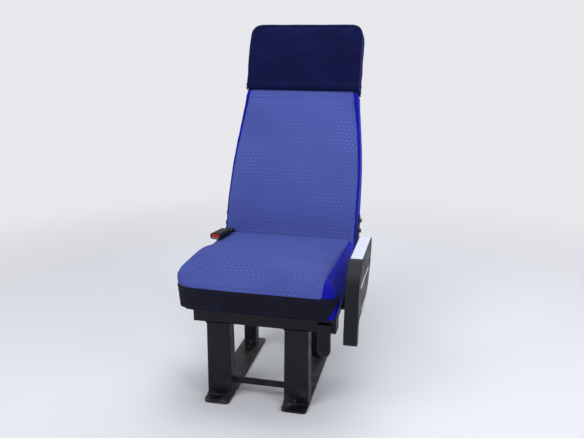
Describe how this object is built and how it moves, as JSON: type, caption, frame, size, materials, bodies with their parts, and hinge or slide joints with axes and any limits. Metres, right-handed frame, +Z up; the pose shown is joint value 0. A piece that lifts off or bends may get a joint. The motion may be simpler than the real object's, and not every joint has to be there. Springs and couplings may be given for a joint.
{
  "type": "passenger seat of a minibus",
  "caption": "Single reclining passenger seat for a minibus, with a high back, slip-on head cover, sprung cushion, floor legs and an armrest that swings down beside the cushion.",
  "frame": {"origin": "centre of the seat's plan on the floor, under the middle of its bounding box", "axes": "+Z up, the seat faces -Y, its aisle side with the armrest is +X"},
  "size_m": [0.534, 0.7865, 1.1177],
  "materials": {
    "frame_paint": "satin black powder coat",
    "bright_steel": "satin steel",
    "spring_steel": "dull spring steel",
    "seat_fabric": "light grey-blue jacquard with small dots",
    "side_fabric": "bright blue woven side fabric",
    "dark_fabric": "charcoal fabric",
    "velour": "dark navy velour slip cover",
    "black_plastic": "grained black plastic",
    "grey_plastic": "light grey plastic",
    "red_plastic": "red button",
    "webbing": "black webbing"
  },
  "bodies": {
    "base": {"foot_window": "frame_paint", "foot_aisle": "frame_paint", "front_post_window": "frame_paint", "front_post_aisle": "frame_paint", "rear_post_window": "frame_paint", "rear_post_aisle": "frame_paint", "front_cross_rail": "frame_paint", "rear_cross_rail": "frame_paint", "tie_bar": "frame_paint", "frame_side_window": "frame_paint", "frame_side_aisle": "frame_paint", "frame_front": "frame_paint", "frame_rear": "frame_paint", "side_skirt_window": "black_plastic", "side_skirt_aisle": "black_plastic", "hinge_bracket_window": "frame_paint", "hinge_bracket_aisle": "frame_paint", "zigzag_springs": "spring_steel", "cushion": "seat_fabric", "cushion_side_window": "side_fabric", "cushion_side_aisle": "side_fabric", "front_valance": "dark_fabric", "armrest_bracket": "frame_paint", "recline_handle": "black_plastic", "buckle": "black_plastic", "buckle_button": "red_plastic", "buckle_strap": "webbing"},
    "backrest": {"hinge_arm_window": "frame_paint", "hinge_arm_aisle": "frame_paint", "back_pad": "seat_fabric", "back_side_window": "side_fabric", "back_side_aisle": "side_fabric", "back_shell": "dark_fabric", "head_cover": "velour"},
    "armrest": {"armrest_shell": "black_plastic", "armrest_cap": "grey_plastic", "armrest_pad": "black_plastic", "armrest_trim": "bright_steel"}
  },
  "joints": [
    {"name": "backrest_recline", "type": "hinge", "parent": "base", "child": "backrest", "pos_m": [-0.0255, 0.07607, 0.39721], "axis": [-1, 0, 0], "range_deg": [0, 20]},
    {"name": "armrest_swing", "type": "hinge", "parent": "base", "child": "armrest", "pos_m": [0.2665, -0.13414, 0.427], "axis": [-1, 0, 0], "range_deg": [0, 90]}
  ]
}
